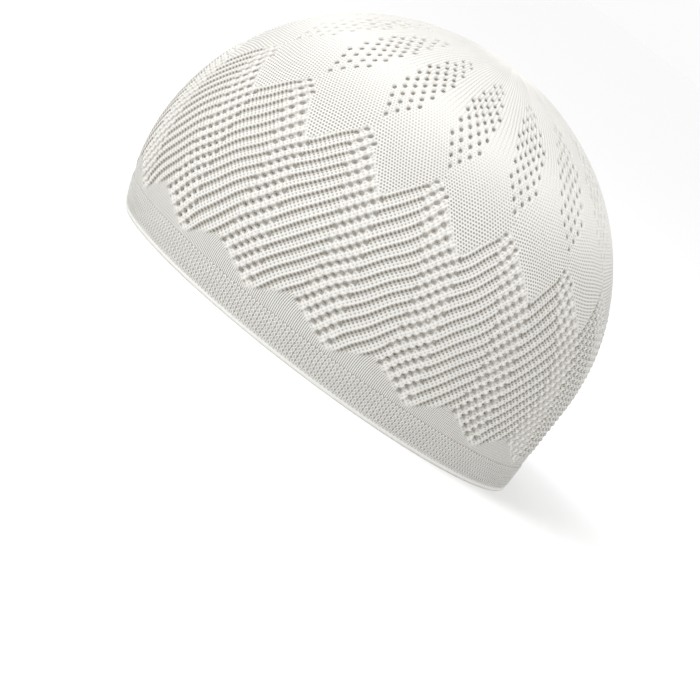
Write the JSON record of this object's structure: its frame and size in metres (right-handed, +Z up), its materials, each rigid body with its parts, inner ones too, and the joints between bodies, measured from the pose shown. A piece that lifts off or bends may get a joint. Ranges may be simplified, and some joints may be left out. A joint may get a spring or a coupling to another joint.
{
  "type": "kufi",
  "caption": "Brimless knitted skull cap: a hollow openwork dome with petals, eyelet panels and slanting ribs over a thicker folded headband.",
  "frame": {"origin": "on the surface that the rim rests on, under the middle of the cap's outline", "axes": "+Z up through the crown, -Y toward the front of the cap, +X toward the wearer's left"},
  "size_m": [0.1728, 0.2048, 0.139],
  "materials": {
    "crown_knit": "matte off-white cotton yarn in a lace knit",
    "band_knit": "matte off-white cotton yarn in a close double knit"
  },
  "bodies": {
    "root": {"crown": "crown_knit", "band": "band_knit"}
  },
  "joints": []
}
